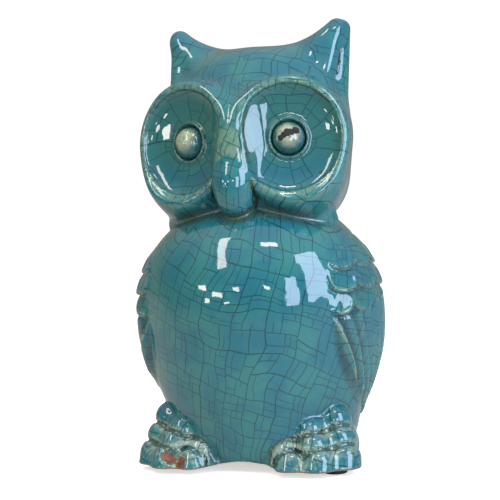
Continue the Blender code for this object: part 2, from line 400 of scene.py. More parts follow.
def outer_form(points):
    """The owl's outside, without its underside, its openings or its hollow."""
    half = mirrored(points)
    q = in_disc(half)
    head = melt(head_form(points, half), ear_form(half), 5)
    head = melt(carve(head, face_cut(q), 3), disc_form(q), 6)
    head = carve(head, dish_cut(q), 0.7)
    head = melt(head, eye_lip(q), 1.5)
    beak = beak_form(points)
    groove = np.hypot(head, beak) - BEAK_GROOVE * fall(points[:, 2], *BEAK_GROOVE_END)
    softness = 1.6 + 8.0 * step(points[:, 2], *BRIDGE_START)
    head = np.maximum(melt(head, beak, softness), -groove)
    d = melt(body_form(points, half), head, 1.0)
    d = melt(d, foot_form(half), 1.2)
    return d + TOE_CHIP_DEPTH * fall(balls(points, TOE_CHIP), -0.4, 0.4)


def under_side(points):
    """Height of the underside: flat, and a little higher in the arch between the feet."""
    across = np.exp(-((points[:, 0] / ARCH_HALF_WIDTH) ** 2))
    return PAD_HEIGHT + ARCH_RISE * (across * np.clip((ARCH_BACK - points[:, 1]) / ARCH_LENGTH, 0.0, 1.0))


def hollow_form(points, outside):
    """The space inside, with at least a whole wall left between it and the outside."""
    d = with_ellipsoids(ellipsoid(points, *HOLLOW_BELLY), points, ((HOLLOW_NECK, 3), (HOLLOW_HEAD, 3)))
    d = np.maximum(d, outside + WALL)
    return np.maximum(d, FLOOR_TOP - points[:, 2])


def shell_form(points):
    """The whole shell: outside, hollow, coin slot, stopper hole and its seat, and the eye beads' sockets."""
    outside = outer_form(points)
    slot_low = (-SLOT_HALF_WIDTH, SLOT_FRONT, SLOT_HEIGHT - SLOT_HALF_OPENING)
    slot_high = (SLOT_HALF_WIDTH, SLOT_BACK, SLOT_HEIGHT + SLOT_HALF_OPENING)
    d = carve(outside, points[:, 2] - under_side(points), 1.0)
    d = carve(d, box(points, slot_low, slot_high), 1.2)
    d = carve(d, drum(points, SEAT_RADIUS, BELOW, SEAT_TOP), 1.0)
    d = carve(d, drum(points, HOLE_RADIUS, BELOW, HOLE_TOP), 0.6)
    d = np.maximum(d, -eye_socket(points))
    return np.maximum(d, -hollow_form(points, outside))


# ---- from the field to a mesh

GRID = 0.9  # spacing of the field's points
ROUGH = 4  # how many of them there are to one point of the first, coarse grid
NEAR = 1.9  # how near the surface the fine field is worked out, in coarse spacings
BATCH = 400000
CORNERS = np.array([(i, j, k) for i in (0, 1) for j in (0, 1) for k in (0, 1)])
CELLS_ROUND_EDGE = ((-1, -1), (0, -1), (0, 0), (-1, 0))


def field_on_grid(form, low, high, spacing):
    """The field on a grid of points, worked out only near the surface: elsewhere a coarse value stands in."""
    counts = np.ceil((high - low) / spacing).astype(int) + 1
    coarse_counts = (counts - 1) // ROUGH + 2
    axes = [low[i] + spacing * ROUGH * np.arange(coarse_counts[i]) for i in range(3)]
    lattice = np.stack(np.meshgrid(*axes, indexing="ij"), axis=-1).reshape(-1, 3)
    coarse = form(lattice.astype(np.float32)).reshape(coarse_counts)
    whole = coarse.repeat(ROUGH, 0).repeat(ROUGH, 1).repeat(ROUGH, 2)
    index = np.argwhere(np.abs(whole) < spacing * ROUGH * NEAR)
    values = whole.astype(np.float32)
    for part in np.array_split(np.arange(len(index)), max(1, len(index) // BATCH)):
        chosen = index[part]
        at = (low + chosen * spacing).astype(np.float32)
        values[chosen[:, 0], chosen[:, 1], chosen[:, 2]] = form(at)
    return values


def cell_points(values, inside, low, spacing):
    """One point in each cell that the surface crosses, in the middle of its crossings of the cell's edges,
    and a grid that gives the number of each cell's point."""
    cells = np.array(values.shape) - 1
    count = np.zeros(cells, np.int8)
    for i, j, k in CORNERS:
        count += inside[i : i + cells[0], j : j + cells[1], k : k + cells[2]]
    crossed = np.argwhere((count > 0) & (count < len(CORNERS)))
    number = np.full(cells, -1, np.int64)
    number[tuple(crossed.T)] = np.arange(len(crossed))
    total = np.zeros((len(crossed), 3))
    hits = np.zeros(len(crossed))
    for a, corner in enumerate(CORNERS):
        for other in CORNERS[a + 1 :]:
            if np.abs(corner - other).sum() != 1:
                continue
            here = values[tuple((crossed + corner).T)]
            there = values[tuple((crossed + other).T)]
            cut = (here < 0) != (there < 0)
            share = np.where(cut, here / np.where(cut, here - there, 1.0), 0.0)
            total += cut[:, None] * (corner + share[:, None] * (other - corner))
            hits += cut
    return low + spacing * (crossed + total / hits[:, None]), number


def quads_along(axis, inside, number):
    """Quads round the grid edges along one axis that the surface crosses, first those that leave the form."""
    u, v = (axis + 1) % 3, (axis + 2) % 3
    first = [slice(None)] * 3
    second = [slice(None)] * 3
    first[axis] = slice(0, -1)
    second[axis] = slice(1, None)
    a, b = inside[tuple(first)], inside[tuple(second)]
    quads = []
    for edge_crosses, order in ((a & ~b, 1), (~a & b, -1)):
        edges = np.argwhere(edge_crosses)
        edges = edges[(edges[:, u] > 0) & (edges[:, v] > 0)]
        around = []
        for du, dv in CELLS_ROUND_EDGE:
            cell = edges.copy()
            cell[:, u] += du
            cell[:, v] += dv
            around.append(number[tuple(cell.T)])
        quads.append(np.stack(around[::order], axis=1))
    return quads


def net_of(values, low, spacing):
    """Surface nets: points and quads of the surface where the field is 0."""
    inside = values < 0
    points, number = cell_points(values, inside, low, spacing)
    quads = []
    for axis in range(3):
        quads += quads_along(axis, inside, number)
    return points, np.concatenate(quads)


def slope(form, points, reach=0.05):
    """The field's gradient at the points."""
    out = np.empty_like(points)
    for axis in range(3):
        offset = np.zeros(3, np.float32)
        offset[axis] = reach
        out[:, axis] = (form(points + offset) - form(points - offset)) / (2 * reach)
    return out


def onto_surface(form, points, turns=3):
    """Moves points near the surface onto it."""
    reach = 0.6 * GRID
    for _ in range(turns):
        gradient = slope(form, points)
        size = np.maximum(np.einsum("ij,ij->i", gradient, gradient), 0.05)
        move = -form(points)[:, None] * gradient / size[:, None]
        points = points + np.clip(move, -reach, reach)
    return points


def mesh_of(name, form, low, high):
    """A form's surface as a mesh in metres, and its points in millimetres."""
    low, high = np.asarray(low, float), np.asarray(high, float)
    points, quads = net_of(field_on_grid(form, low, high, GRID), low, GRID)
    points = onto_surface(form, points.astype(np.float32))
    made = bpy.data.meshes.new(name)
    made.vertices.add(len(points))
    made.vertices.foreach_set("co", (points * MM).astype(np.float32).ravel())
    made.loops.add(quads.size)
    made.loops.foreach_set("vertex_index", quads.astype(np.int32).ravel())
    made.polygons.add(len(quads))
    made.polygons.foreach_set("loop_start", np.arange(0, quads.size, 4, dtype=np.int32))
    made.update(calc_edges=True)
    made.validate()
    made.shade_smooth()
    return made, points


# ---- pieces

SHELL_LOW = (-70, -60, -1)
SHELL_HIGH = (70, 65, 234)
FINE_REACH = 2.2  # how far off the surface the field is read to tell a crease from a ridge
BROAD_REACH = 7.0
BARE_UNDERSIDE = 3.4  # the clay is bare up to this height


def link(name, made):
    piece = bpy.data.objects.new(name, made)
    bpy.context.scene.collection.objects.link(piece)
    return piece


def relief_marks(points):
    """How much each point lies in a crease or on a ridge. In a crease, a point moved out along the normal
    stays nearer to the surface than it was moved, and on a ridge a point moved in does."""
    gradient = slope(shell_form, points)
    steep = np.clip(length(gradient), 0.4, 1.2)
    normals = gradient / np.maximum(length(gradient), 1e-6)[:, None]
    return {
        "fine_hollow": 1 - outer_form(points + normals * FINE_REACH) / (FINE_REACH * steep),
        "fine_ridge": 1 + outer_form(points - normals * FINE_REACH) / (FINE_REACH * steep),
        "broad_hollow": 1 - outer_form(points + normals * BROAD_REACH) / (BROAD_REACH * steep),
    }


def region_marks(points):
    """Marks that are 1 in a region of the shell and 0 away from it, and the feathers' relative height."""
    half = mirrored(points)
    q = in_disc(half)
    off_beak = step(beak_form(points), 2.4, 4.5) * step(half[:, 0], 1.5, 5.0)
    on_rim = fall(np.abs(np.hypot(q[:, 0], q[:, 1]) - RIM_RADIUS), 0.6, 2.8) * step(q[:, 2], -5.0, -3.0)
    inner_wall = fall(np.abs(hollow_form(points, outer_form(points))), 0.4, 1.2)
    return {
        "foot": fall(foot_form(half), 0.0, 1.5),
        "rim": on_rim * off_beak,
        "feather": wing_relief(half) / FEATHER_DEPTH,
        "dish": fall(dish_cut(q), 0.0, 0.8),
        "wing": fall(wing_form(half), -0.5, 2.5) * fall(points[:, 2], 112.0, 122.0),
        "bare": np.maximum(inner_wall, points[:, 2] < BARE_UNDERSIDE),
    }


def make_shell():
    made, points = mesh_of("ceramic", shell_form, SHELL_LOW, SHELL_HIGH)
    for name, values in (relief_marks(points) | region_marks(points)).items():
        attribute = made.attributes.new(name, "FLOAT", "POINT")
        attribute.data.foreach_set("value", values.astype(np.float32))
    return link("glazed_shell", made)


BEAD_FRONT = 1.2  # the dome's top, out of the disc's plane
BEAD_RISE = 7.0
BEAD_BACK = -7.6
BEAD_BEVEL = 0.4
BEAD_STEPS = 22
BEAD_SIDES = 96
PAD_SIDES = 48
STOPPER_SIDES = 72


def on_bead(across, up):
    """A place on the left bead's dome, from its offset from the bead's middle."""
    share = math.hypot(across, up) / BEAD_RADIUS
    front = BEAD_FRONT - BEAD_RISE * (1 - math.sqrt(1 - share * share))
    return tuple(DISC_CENTRE + np.array([across, up, front]) @ disc_axes())


# The chip across the left bead, as balls.
BEAD_CHIP = (
    (on_bead(-4.2, -0.3), 1.7),
    (on_bead(-2.4, 0.9), 1.7),
    (on_bead(-0.6, 2.2), 2.0),
    (on_bead(1.6, 2.4), 1.7),
    (on_bead(3.8, 3.2), 2.0),
)
BEAD_CHIP_DEPTH = 0.35


def spun(made, profile, count):
    """Turns a profile of (radius, height) round +Z into a closed mesh."""
    build = bmesh.new()
    turns = [2 * math.pi * k / count for k in range(count)]
    rings = []
    for radius, height in profile:
        angles = turns if radius else turns[:1]
        places = [(radius * math.cos(angle), radius * math.sin(angle), height) for angle in angles]
        rings.append([build.verts.new(place) for place in places])
    for upper, lower in zip(rings, rings[1:]):
        for k in range(count):
            around = ((upper, k), (lower, k), (lower, k + 1), (upper, k + 1))
            corners = [row[at % len(row)] for row, at in around]
            build.faces.new(list(dict.fromkeys(corners)))
    bmesh.ops.recalc_face_normals(build, faces=build.faces)
    build.to_mesh(made)
    build.free()


def press_chip(made):
    """Presses the chip into the bead's face."""
    places = np.empty(len(made.vertices) * 3, np.float32)
    made.vertices.foreach_get("co", places)
    places = places.reshape(-1, 3)
    chip = fall(balls(places, BEAD_CHIP), -0.3, 0.3)[:, None]
    made.vertices.foreach_set("co", (places + BEAD_CHIP_DEPTH * chip * (0, 1, 0)).ravel())


def make_bead(name, side):
    """The left eye's bead, or the right one's where side is -1: a low dome whose back sits in the socket."""
    made = bpy.data.meshes.new(name)
    profile = [(0.0, BEAD_FRONT)]
    for step_down in range(1, BEAD_STEPS + 1):
        angle = math.pi / 2 * (1 - step_down / BEAD_STEPS)
        profile.append((BEAD_RADIUS * math.cos(angle), BEAD_FRONT - BEAD_RISE * (1 - math.sin(angle))))
    profile += [(BEAD_RADIUS - BEAD_BEVEL, BEAD_BACK), (0.0, BEAD_BACK)]
    spun(made, profile, BEAD_SIDES)
    turn = Matrix(disc_axes().T.tolist()).to_4x4()
    turn.translation = Vector(DISC_CENTRE)
    made.transform(turn)
    if side < 0:
        made.transform(Matrix.Scale(-1, 4, (1, 0, 0)))
        made.flip_normals()
    press_chip(made)
    made.transform(Matrix.Scale(MM, 4))
    made.shade_smooth()
    return link(name, made)


def make_pad(node):
    """A rubber foot: a short drum with rounded edges and a dimple in its lower face."""
    low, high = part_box(node)
    centre = (low + high) / 2
    radius = (high.x - low.x) / 2 / MM
    top = high.z / MM
    profile = [(0.0, 0.5), (2.2, 0.5), (2.6, 0.0), (radius - 1.2, 0.0), (radius - 0.5, 0.15)]
    profile += [(radius - 0.1, 0.6), (radius, 1.2), (radius, top - 0.3), (radius - 0.3, top), (0.0, top)]
    made = bpy.data.meshes.new(node)
    spun(made, profile, PAD_SIDES)
    made.transform(Matrix.Scale(MM, 4))
    made.transform(Matrix.Translation((centre.x, centre.y, 0)))
    return link(node + "_rubber", made)


def make_stopper():
    """The stopper, from the dimple in its flange, up round the plug and its bead, and down into its cup."""
    low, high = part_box("stopper")
    bottom, top = low.z / MM, high.z / MM
    flange = (high.x - low.x) / 2 / MM
    profile = [(0.0, bottom + 1.0), (5.0, bottom + 1.0), (5.6, bottom + 0.2), (6.2, bottom)]
    profile += [(flange - 1.0, bottom), (flange - 0.2, bottom + 0.4), (flange, bottom + 1.1)]
    profile += [(flange - 0.2, bottom + 1.8), (flange - 1.0, bottom + 2.1), (15.4, bottom + 2.2)]
    profile += [(15.2, bottom + 2.8), (15.2, 12.0), (15.6, 12.8), (15.6, 14.2), (14.6, top)]
    profile += [(12.0, top), (11.5, top - 1.0), (11.0, 9.0), (0.0, 9.0)]
    made = bpy.data.meshes.new("stopper")
    spun(made, profile, STOPPER_SIDES)
    made.transform(Matrix.Scale(MM, 4))
    return link("rubber_stopper", made)


# ---- tools for materials


def colour(red, green, blue):
    """A colour given as 0-255 screen values, as the shader wants it."""

    def linear(value):
        share = value / 255
        return share / 12.92 if share <= 0.04045 else ((share + 0.055) / 1.055) ** 2.4

    return (linear(red), linear(green), linear(blue), 1.0)


class Graph:
    """A tree of shader nodes, with one call for each node."""

    def __init__(self, tree):
        self.tree = tree

    def feed(self, socket, value):
        if isinstance(value, bpy.types.NodeSocket):
            self.tree.links.new(value, socket)
        else:
            socket.default_value = value

    def node(self, kind, inputs=None, **settings):
        made = self.tree.nodes.new("ShaderNode" + kind)
        for name, value in settings.items():
            setattr(made, name, value)
        for name, value in (inputs or {}).items():
            self.feed(made.inputs[name], value)
        return made

    def math(self, operation, *values):
        return self.node("Math", dict(enumerate(values)), operation=operation).outputs[0]

    def vector(self, operation, *values, out="Vector"):
        return self.node("VectorMath", dict(enumerate(values)), operation=operation).outputs[out]

    def times(self, first, *others):
        for other in others:
            first = self.math("MULTIPLY", first, other)
        return first

    def most(self, first, *others):
        for other in others:
            first = self.math("MAXIMUM", first, other)
        return first

    def scaled(self, vector, by):
        return self.node("VectorMath", {0: vector, "Scale": by}, operation="SCALE").outputs[0]

    def ramp(self, value, low, high, start=0.0, end=1.0):
        """A smooth run from start to end, as value goes from low to high."""
        inputs = {"Value": value, "From Min": low, "From Max": high, "To Min": start, "To Max": end}
        return self.node("MapRange", inputs, interpolation_type="SMOOTHSTEP").outputs[0]

    def mix(self, share, first, second):
        """A colour between two others."""
        return self.node("Mix", {0: share, 6: first, 7: second}, data_type="RGBA").outputs[2]

    def choose(self, second_one, first, second):
        """The first value where second_one is 0, and the second where it is 1."""
        return self.node("Mix", {0: second_one, 2: first, 3: second}, data_type="FLOAT").outputs[0]

    def parts(self, vector):
        """The three numbers of a vector."""
        return self.node("SeparateXYZ", {0: vector}).outputs

    def chance(self, first, second, third, fourth):
        """A random number from 0 to 1 that depends only on the four given."""
        key = self.node("CombineXYZ", {"X": first, "Y": second, "Z": third}).outputs[0]
        inputs = {"Vector": key, "W": fourth}
        return self.node("TexWhiteNoise", inputs, noise_dimensions="4D").outputs["Value"]

    def noise(self, place, scale, detail, out="Fac"):
        """Noise round 0.5, in patches of about 1 / scale."""
        return self.node("TexNoise", {"Vector": place, "Scale": scale, "Detail": detail}).outputs[out]

    def attribute(self, name):
        return self.node("Attribute", attribute_name=name).outputs["Fac"]

    def place(self):
        """The place on the piece, in metres."""
        return self.node("TexCoord").outputs["Object"]

    def bump(self, height, strength, distance):
        return self.node("Bump", {"Height": height, "Strength": strength, "Distance": distance}).outputs[0]

    def shade(self, **inputs):
        """The Principled shader and the material's output. Input names have _ for a space."""
        named = {name.replace("_", " "): value for name, value in inputs.items()}
        shader = self.node("BsdfPrincipled", named)
        self.node("OutputMaterial", {"Surface": shader.outputs[0]})


def new_material(name):
    material = bpy.data.materials.new(name)
    material.use_nodes = True
    material.node_tree.nodes.clear()
    return material, Graph(material.node_tree)


# ---- the crackle

STRIP = 15.0  # millimetres between the long cracks
ROW = 22.0  # and between the first ones across them
BODY_REACH = 52.0  # the radius at which the body's strips have that width
EYE_REACH = 16.0  # and the same in an eye's dish
LEAN = 0.25  # how far the long cracks lean
DROOP = 0.3  # how far the ones across them droop
EYE_EDGE = 25.5  # the radius of a dish's own cracks, and how deep they go
EYE_DEPTH = -12.0
CROWN_START = 198.0
LEVEL_NORMAL = 0.5  # skin that faces up more than this is on top
HEAD_START = 128.0
HEAD_FINENESS = -0.12  # below 0, so that the head's cracks are a little further apart
CRACK_CORE = 0.06  # millimetres from a crack's middle where it is darkest
CRACK_FADE = 0.4  # and where it has faded out
LONG_DARK = 1.0
ROW_DARK = 0.9
# The shorter cracks, level by level: their darkness and the share of cells that they leave whole.
CRACK_LEVELS = ((0.9, 0.0), (0.85, 0.05), (0.75, 0.35), (0.65, 0.6))
# How cracks wander: the noise's size and detail, and how far it moves them.
BENDS = ((42, 1.0, 15.0), (15, 0.0, 5.0), (7, 1.0, 0.9))


def eye_coordinates(graph, x, y, z):
    """Round the nearer eye bead and out from it, in millimetres, and 1 in its dish."""
    half = graph.node("CombineXYZ", {"X": graph.math("ABSOLUTE", x), "Y": y, "Z": z}).outputs[0]
    from_eye = graph.vector("SUBTRACT", half, tuple(DISC_CENTRE))
    axes = disc_axes().tolist()
    across, upright, out = [graph.vector("DOT_PRODUCT", from_eye, tuple(axis), out="Value") for axis in axes]
    away = graph.math("SQRT", graph.math("MULTIPLY_ADD", across, across, graph.times(upright, upright)))
    turn = graph.times(graph.math("ARCTAN2", upright, across), EYE_REACH)
    in_eye = graph.times(graph.math("LESS_THAN", away, EYE_EDGE), graph.math("GREATER_THAN", out, EYE_DEPTH))
    return turn, away, in_eye


def skin_coordinates(graph, place, normal):
    """Coordinates on the skin for its cracks, in millimetres: round the owl and up it; on top of the head,
    across and back; and in an eye's dish, round the bead and out from it. The third value is how much
    longer a step in the first coordinate really is, and the fourth a number for the region."""
    x, y, z = graph.parts(place)
    reach = graph.vector("LENGTH", graph.vector("MULTIPLY", place, (1, 1, 0)), out="Value")
    turn = graph.times(graph.math("ARCTAN2", x, graph.times(y, -1.0)), BODY_REACH)
    first = graph.math("MULTIPLY_ADD", z, -LEAN, turn)
    second = graph.math("MULTIPLY_ADD", turn, DROOP, z)
    longer = graph.math("DIVIDE", reach, BODY_REACH)

    level = graph.math("GREATER_THAN", graph.parts(normal)[2], LEVEL_NORMAL)
    on_top = graph.times(level, graph.math("GREATER_THAN", z, CROWN_START))
    first = graph.choose(on_top, first, x)
    second = graph.choose(on_top, second, y)
    longer = graph.choose(on_top, longer, 1.0)

    eye_turn, away, in_eye = eye_coordinates(graph, x, y, z)
    first = graph.choose(in_eye, first, eye_turn)
    second = graph.choose(in_eye, second, away)
    longer = graph.choose(in_eye, longer, graph.math("DIVIDE", away, EYE_REACH))
    left = graph.math("GREATER_THAN", x, 0.0)
    region = graph.times(graph.math("MULTIPLY_ADD", left, 7.0, 5.0), in_eye)
    return first, second, longer, region


def bent(graph, place):
    """The place moved about a little, so that cracks wander."""
    moved = place
    for size, detail, amount in BENDS:
        drift = graph.vector("SUBTRACT", graph.noise(place, 1 / size, detail, out="Color"), (0.5, 0.5, 0.5))
        moved = graph.vector("ADD", moved, graph.scaled(drift, amount))
    return moved


def crack(graph, share, at, size, dark):
    """How dark a crack at one share of a cell's width is, at another share of it."""
    off = graph.times(graph.math("ABSOLUTE", graph.math("SUBTRACT", share, at)), size)
    return graph.ramp(off, CRACK_CORE, CRACK_FADE, dark, 0.0)


def crack_lines(graph, place, normal):
    """Cracks as they form in a glaze: long ones first, then shorter ones that each end on an older one.
    Each level cuts the cells of the one before in two at a random place. The result is how dark they are."""
    first, second, longer, region = skin_coordinates(graph, bent(graph, place), normal)
    on_head = graph.math("GREATER_THAN", graph.parts(place)[2], HEAD_START)
    finer = graph.math("MULTIPLY_ADD", on_head, HEAD_FINENESS, 1.0)
    u = graph.times(graph.math("DIVIDE", first, STRIP), finer)
    strip = graph.math("FLOOR", u)
    shift = graph.math("SNAP", graph.chance(strip, 0.0, 0.0, region), 0.5)
    v = graph.math("ADD", graph.times(graph.math("DIVIDE", second, ROW), finer), shift)
    row = graph.math("FLOOR", v)

    # A cell's two ways, up and across: the place in the cell as a share of it, and its size in millimetres.
    shares = [graph.math("FRACT", v), graph.math("FRACT", u)]
    sizes = [graph.math("DIVIDE", ROW, finer), graph.math("DIVIDE", graph.times(longer, STRIP), finer)]
    lines = 0.0
    for share, size, dark in zip(shares, sizes, (ROW_DARK, LONG_DARK)):
        lines = graph.most(lines, crack(graph, share, 0.0, size, dark), crack(graph, share, 1.0, size, dark))
    cell = 0.0
    for level, (dark, whole) in enumerate(CRACK_LEVELS):
        way = level % 2
        share, size = shares[way], sizes[way]
        key = graph.math("ADD", cell, 10.0 * level)
        at = graph.math("MULTIPLY_ADD", graph.chance(strip, row, key, region), 0.4, 0.3)
        shown = graph.math("GREATER_THAN", graph.chance(row, strip, key, region), whole)
        lines = graph.most(lines, graph.times(crack(graph, share, at, size, dark), shown))
        upper = graph.math("GREATER_THAN", share, at)
        cell = graph.math("MULTIPLY_ADD", cell, 2.0, upper)
        span = graph.choose(upper, at, graph.math("SUBTRACT", 1.0, at))
        start = graph.times(upper, at)
        shares[way] = graph.math("DIVIDE", graph.math("SUBTRACT", share, start), span)
        sizes[way] = graph.times(size, span)
    return lines


# ---- materials

GLAZE_IOR = 1.65
GLAZE_ROUGHNESS = 0.045
CLAY_ROUGHNESS = 0.6
NECK_CREASE = 127.0  # the height of the crease between head and body
NECK_REACH = (4.0, 14.0)  # how far from it the glaze starts to change back, and where it has
NECK_DULLNESS = 0.35

GLAZE_BLUE = colour(30, 98, 108)
GLAZE_GREEN = colour(44, 110, 108)
GLAZE_POOLED = colour(14, 78, 104)
GLAZE_THIN = colour(104, 132, 108)
DISH_TOP = colour(44, 98, 92)
# Olive glaze stain in the creases, made darker than the stain alone as painted shade.
CREASE_STAIN_AND_SHADE = colour(52, 76, 60)
WING_STREAK = colour(100, 124, 104)
FEATHER_SHADE = colour(22, 64, 74)
FEATHER_EDGE = colour(126, 142, 116)
TOE_PALE = colour(138, 154, 138)
CRACK_STAIN = colour(10, 42, 46)
CLAY_DARK = colour(84, 42, 20)
CLAY_LIGHT = colour(132, 72, 34)
CLAY_EDGE = colour(118, 94, 70)
BEAD_CREAM = colour(150, 156, 126)
BEAD_TEAL = colour(36, 84, 84)
BEAD_SPECK = colour(64, 104, 98)
BEAD_CLAY_DARK = colour(7, 4, 4)
BEAD_CLAY_LIGHT = colour(36, 14, 10)
RUBBER_WORN = colour(52, 52, 54)
PAD_BLACK = colour(24, 24, 26)
STOPPER_BLACK = colour(30, 30, 32)


def chip_mask(graph, place, places):
    """1 inside the chip's balls, with a rough edge."""
    edge = graph.math("SUBTRACT", graph.noise(place, 0.6, 3.0), 0.5)
    nearest = 100.0
    for centre, radius in places:
        off = graph.vector("DISTANCE", place, tuple(float(c) for c in centre), out="Value")
        nearest = graph.math("MINIMUM", nearest, graph.math("SUBTRACT", off, float(radius)))
    return graph.ramp(graph.math("MULTIPLY_ADD", edge, 2.0, nearest), -0.15, 0.15, 1.0, 0.0)


def pooled_tone(graph, height, blotch, near_neck, hollow):
    """The glaze's colour: green and blue in patches, deep where it has pooled, and in the creases an olive
    stain that is made darker as painted shade.
    """
    wide_hollow = graph.attribute("broad_hollow")
    tone = graph.mix(graph.ramp(blotch, 0.36, 0.64), GLAZE_BLUE, GLAZE_GREEN)
    tone = graph.mix(graph.ramp(wide_hollow, 0.25, 0.8, 0.0, 0.85), tone, GLAZE_POOLED)
    upper = graph.times(graph.attribute("dish"), graph.ramp(height, 146.0, 166.0, 0.25, 0.9))
    tone = graph.mix(upper, tone, DISH_TOP)
    # Painted shade: the creases, and the broad hollows by the neck crease, are darkened towards the crease
    # colour, which is partly the glaze's own olive stain.
    crease = graph.most(graph.ramp(hollow, 0.12, 0.6), graph.times(near_neck, wide_hollow))
    return graph.mix(graph.times(crease, graph.ramp(blotch, 0.3, 0.55, 0.4, 1.0)), tone, CREASE_STAIN_AND_SHADE)


def thinned_tone(graph, tone, grain, ridge):
    """The tone with pale glaze where it has run thin: on ridges, and on the rims of the eyes' discs."""
    thin = graph.times(graph.ramp(ridge, 0.22, 0.6), graph.ramp(grain, 0.3, 0.6, 0.35, 1.0))
    thin = graph.times(thin, graph.ramp(graph.attribute("dish"), 0.0, 1.0, 1.0, 0.2))
    rim = graph.times(graph.attribute("rim"), graph.ramp(grain, 0.35, 0.65, 0.1, 0.85))
    return graph.mix(graph.most(thin, rim), tone, GLAZE_THIN)


def wing_tone(graph, tone, place):
    """The tone with upright streaks on the wings, dark between the feathers and pale on their edges."""
    wing = graph.attribute("wing")
    feather = graph.attribute("feather")
    stretched = graph.vector("MULTIPLY", place, (1, 1, 0.3))
    streaks = graph.ramp(graph.noise(stretched, 1 / 3.5, 3.0), 0.45, 0.68)
    tone = graph.mix(graph.times(streaks, wing, 0.75), tone, WING_STREAK)
    tone = graph.mix(graph.times(graph.ramp(feather, 0.5, 0.1, 0.0, 0.85), wing), tone, FEATHER_SHADE)
    return graph.mix(graph.times(graph.ramp(feather, 0.62, 1.02, 0.0, 0.85), wing), tone, FEATHER_EDGE)


def foot_tone(graph, tone, grain, ridge):
    """The tone with the pale, worn glaze of the toes."""
    worn = graph.math("ADD", graph.times(grain, 0.7), graph.times(ridge, 0.45))
    return graph.mix(graph.times(graph.ramp(worn, 0.38, 0.75), graph.attribute("foot")), tone, TOE_PALE)


def glaze(name):
    """The crackled glaze, with bare clay inside, underneath and in the toe's chip."""
    material, graph = new_material(name)
    place = graph.scaled(graph.place(), 1 / MM)
    height = graph.parts(place)[2]
    lines = crack_lines(graph, place, graph.node("NewGeometry").outputs["Normal"])
    blotch = graph.noise(place, 1 / 16, 3.0)
    grain = graph.noise(place, 1 / 2.2, 3.0)
    ridge = graph.attribute("fine_ridge")
    hollow = graph.attribute("fine_hollow")
    from_neck = graph.math("ABSOLUTE", graph.math("SUBTRACT", height, NECK_CREASE))
    near_neck = graph.ramp(from_neck, *NECK_REACH, 1.0, 0.0)

    tone = pooled_tone(graph, height, blotch, near_neck, hollow)
    tone = thinned_tone(graph, tone, grain, ridge)
    tone = wing_tone(graph, tone, place)
    tone = foot_tone(graph, tone, grain, ridge)
    tone = graph.mix(graph.times(lines, 0.8), tone, CRACK_STAIN)

    low = graph.math("MULTIPLY_ADD", graph.noise(place, 1 / 3, 2.0), 1.6, PAD_HEIGHT)
    edge = graph.ramp(graph.math("SUBTRACT", height, low), -0.2, 0.2, 1.0, 0.0)
    bare = graph.most(graph.attribute("bare"), edge, chip_mask(graph, place, TOE_CHIP))
    clay = graph.mix(graph.ramp(grain, 0.35, 0.65), CLAY_DARK, CLAY_LIGHT)
    tone = graph.mix(bare, tone, graph.mix(edge, clay, CLAY_EDGE))
    dull = graph.times(near_neck, graph.ramp(hollow, 0.05, 0.3), NECK_DULLNESS)
    roughness = graph.ramp(bare, 0.0, 1.0, GLAZE_ROUGHNESS, CLAY_ROUGHNESS)
    graph.shade(
        Base_Color=tone,
        Roughness=graph.math("ADD", roughness, dull),
        IOR=GLAZE_IOR,
        Normal=graph.bump(graph.noise(place, 1 / 13, 2.0), 1.0, 0.0003),
    )
    return material


def bead_glaze(name, chipped):
    """The pale glaze of an eye bead: cream on top, teal where it has run down, and the chip's dark clay."""
    material, graph = new_material(name)
    place = graph.scaled(graph.place(), 1 / MM)
    grain = graph.noise(place, 1 / 1.6, 3.0)
    blotch = graph.noise(place, 1 / 5, 2.0)
    eye = graph.vector("MULTIPLY", tuple(DISC_CENTRE), (1 if chipped else -1, 1, 1))
    away = graph.vector("DISTANCE", place, graph.vector("ADD", eye, (0, -1.0, 1.5)), out="Value")
    run = graph.ramp(graph.math("MULTIPLY_ADD", blotch, 5.0, away), 6.0, 10.5)
    tone = graph.mix(run, BEAD_CREAM, BEAD_TEAL)
    tone = graph.mix(graph.ramp(grain, 0.5, 0.66, 0.0, 0.6), tone, BEAD_SPECK)
    rough = 0.05
    if chipped:
        chip = chip_mask(graph, place, BEAD_CHIP)
        tone = graph.mix(chip, tone, graph.mix(graph.ramp(grain, 0.4, 0.6), BEAD_CLAY_DARK, BEAD_CLAY_LIGHT))
        rough = graph.ramp(chip, 0.0, 1.0, 0.05, 0.85)
    graph.shade(
        Base_Color=tone,
        Roughness=rough,
        IOR=GLAZE_IOR,
        Normal=graph.bump(graph.noise(place, 1 / 4, 2.0), 1.0, 0.0006),
    )
    return material


def rubber(name, dark):
    """Rubber with a fine grain, a little greyer and rougher where it is worn."""
    material, graph = new_material(name)
    place = graph.place()
    worn = graph.noise(place, 160, 3.0)
    graph.shade(
        Base_Color=graph.mix(graph.ramp(worn, 0.35, 0.7), dark, RUBBER_WORN),
        Roughness=graph.ramp(worn, 0.3, 0.7, 0.55, 0.75),
        Normal=graph.bump(graph.noise(place, 2600, 3.0), 0.4, 0.0002),
    )
    return material


# ---- camera, light and floor

CAMERA_TURN = math.radians(20.0)
CAMERA_RISE = math.radians(2.19)
CAMERA_ROLL = math.radians(2.2)
CAMERA_DISTANCE = 0.753
CAMERA_LENS = 103.1
CAMERA_AIM_ASIDE = -0.0055
CAMERA_AIM_HEIGHT = 0.1109

FLOOR_SIDE = 3.0
FLOOR_FRONT = -0.45
FLOOR_BACK = 5.0
PAPER = (colour(244, 240, 236), colour(252, 248, 244))
PAPER_MIRRORED = (colour(120, 118, 114), colour(214, 208, 200))

LIGHT_AIM = Vector((0, 0, 0.1))
WARM = (1.0, 0.95, 0.88)
DAYLIGHT = (0.62, 0.74, 1.0)
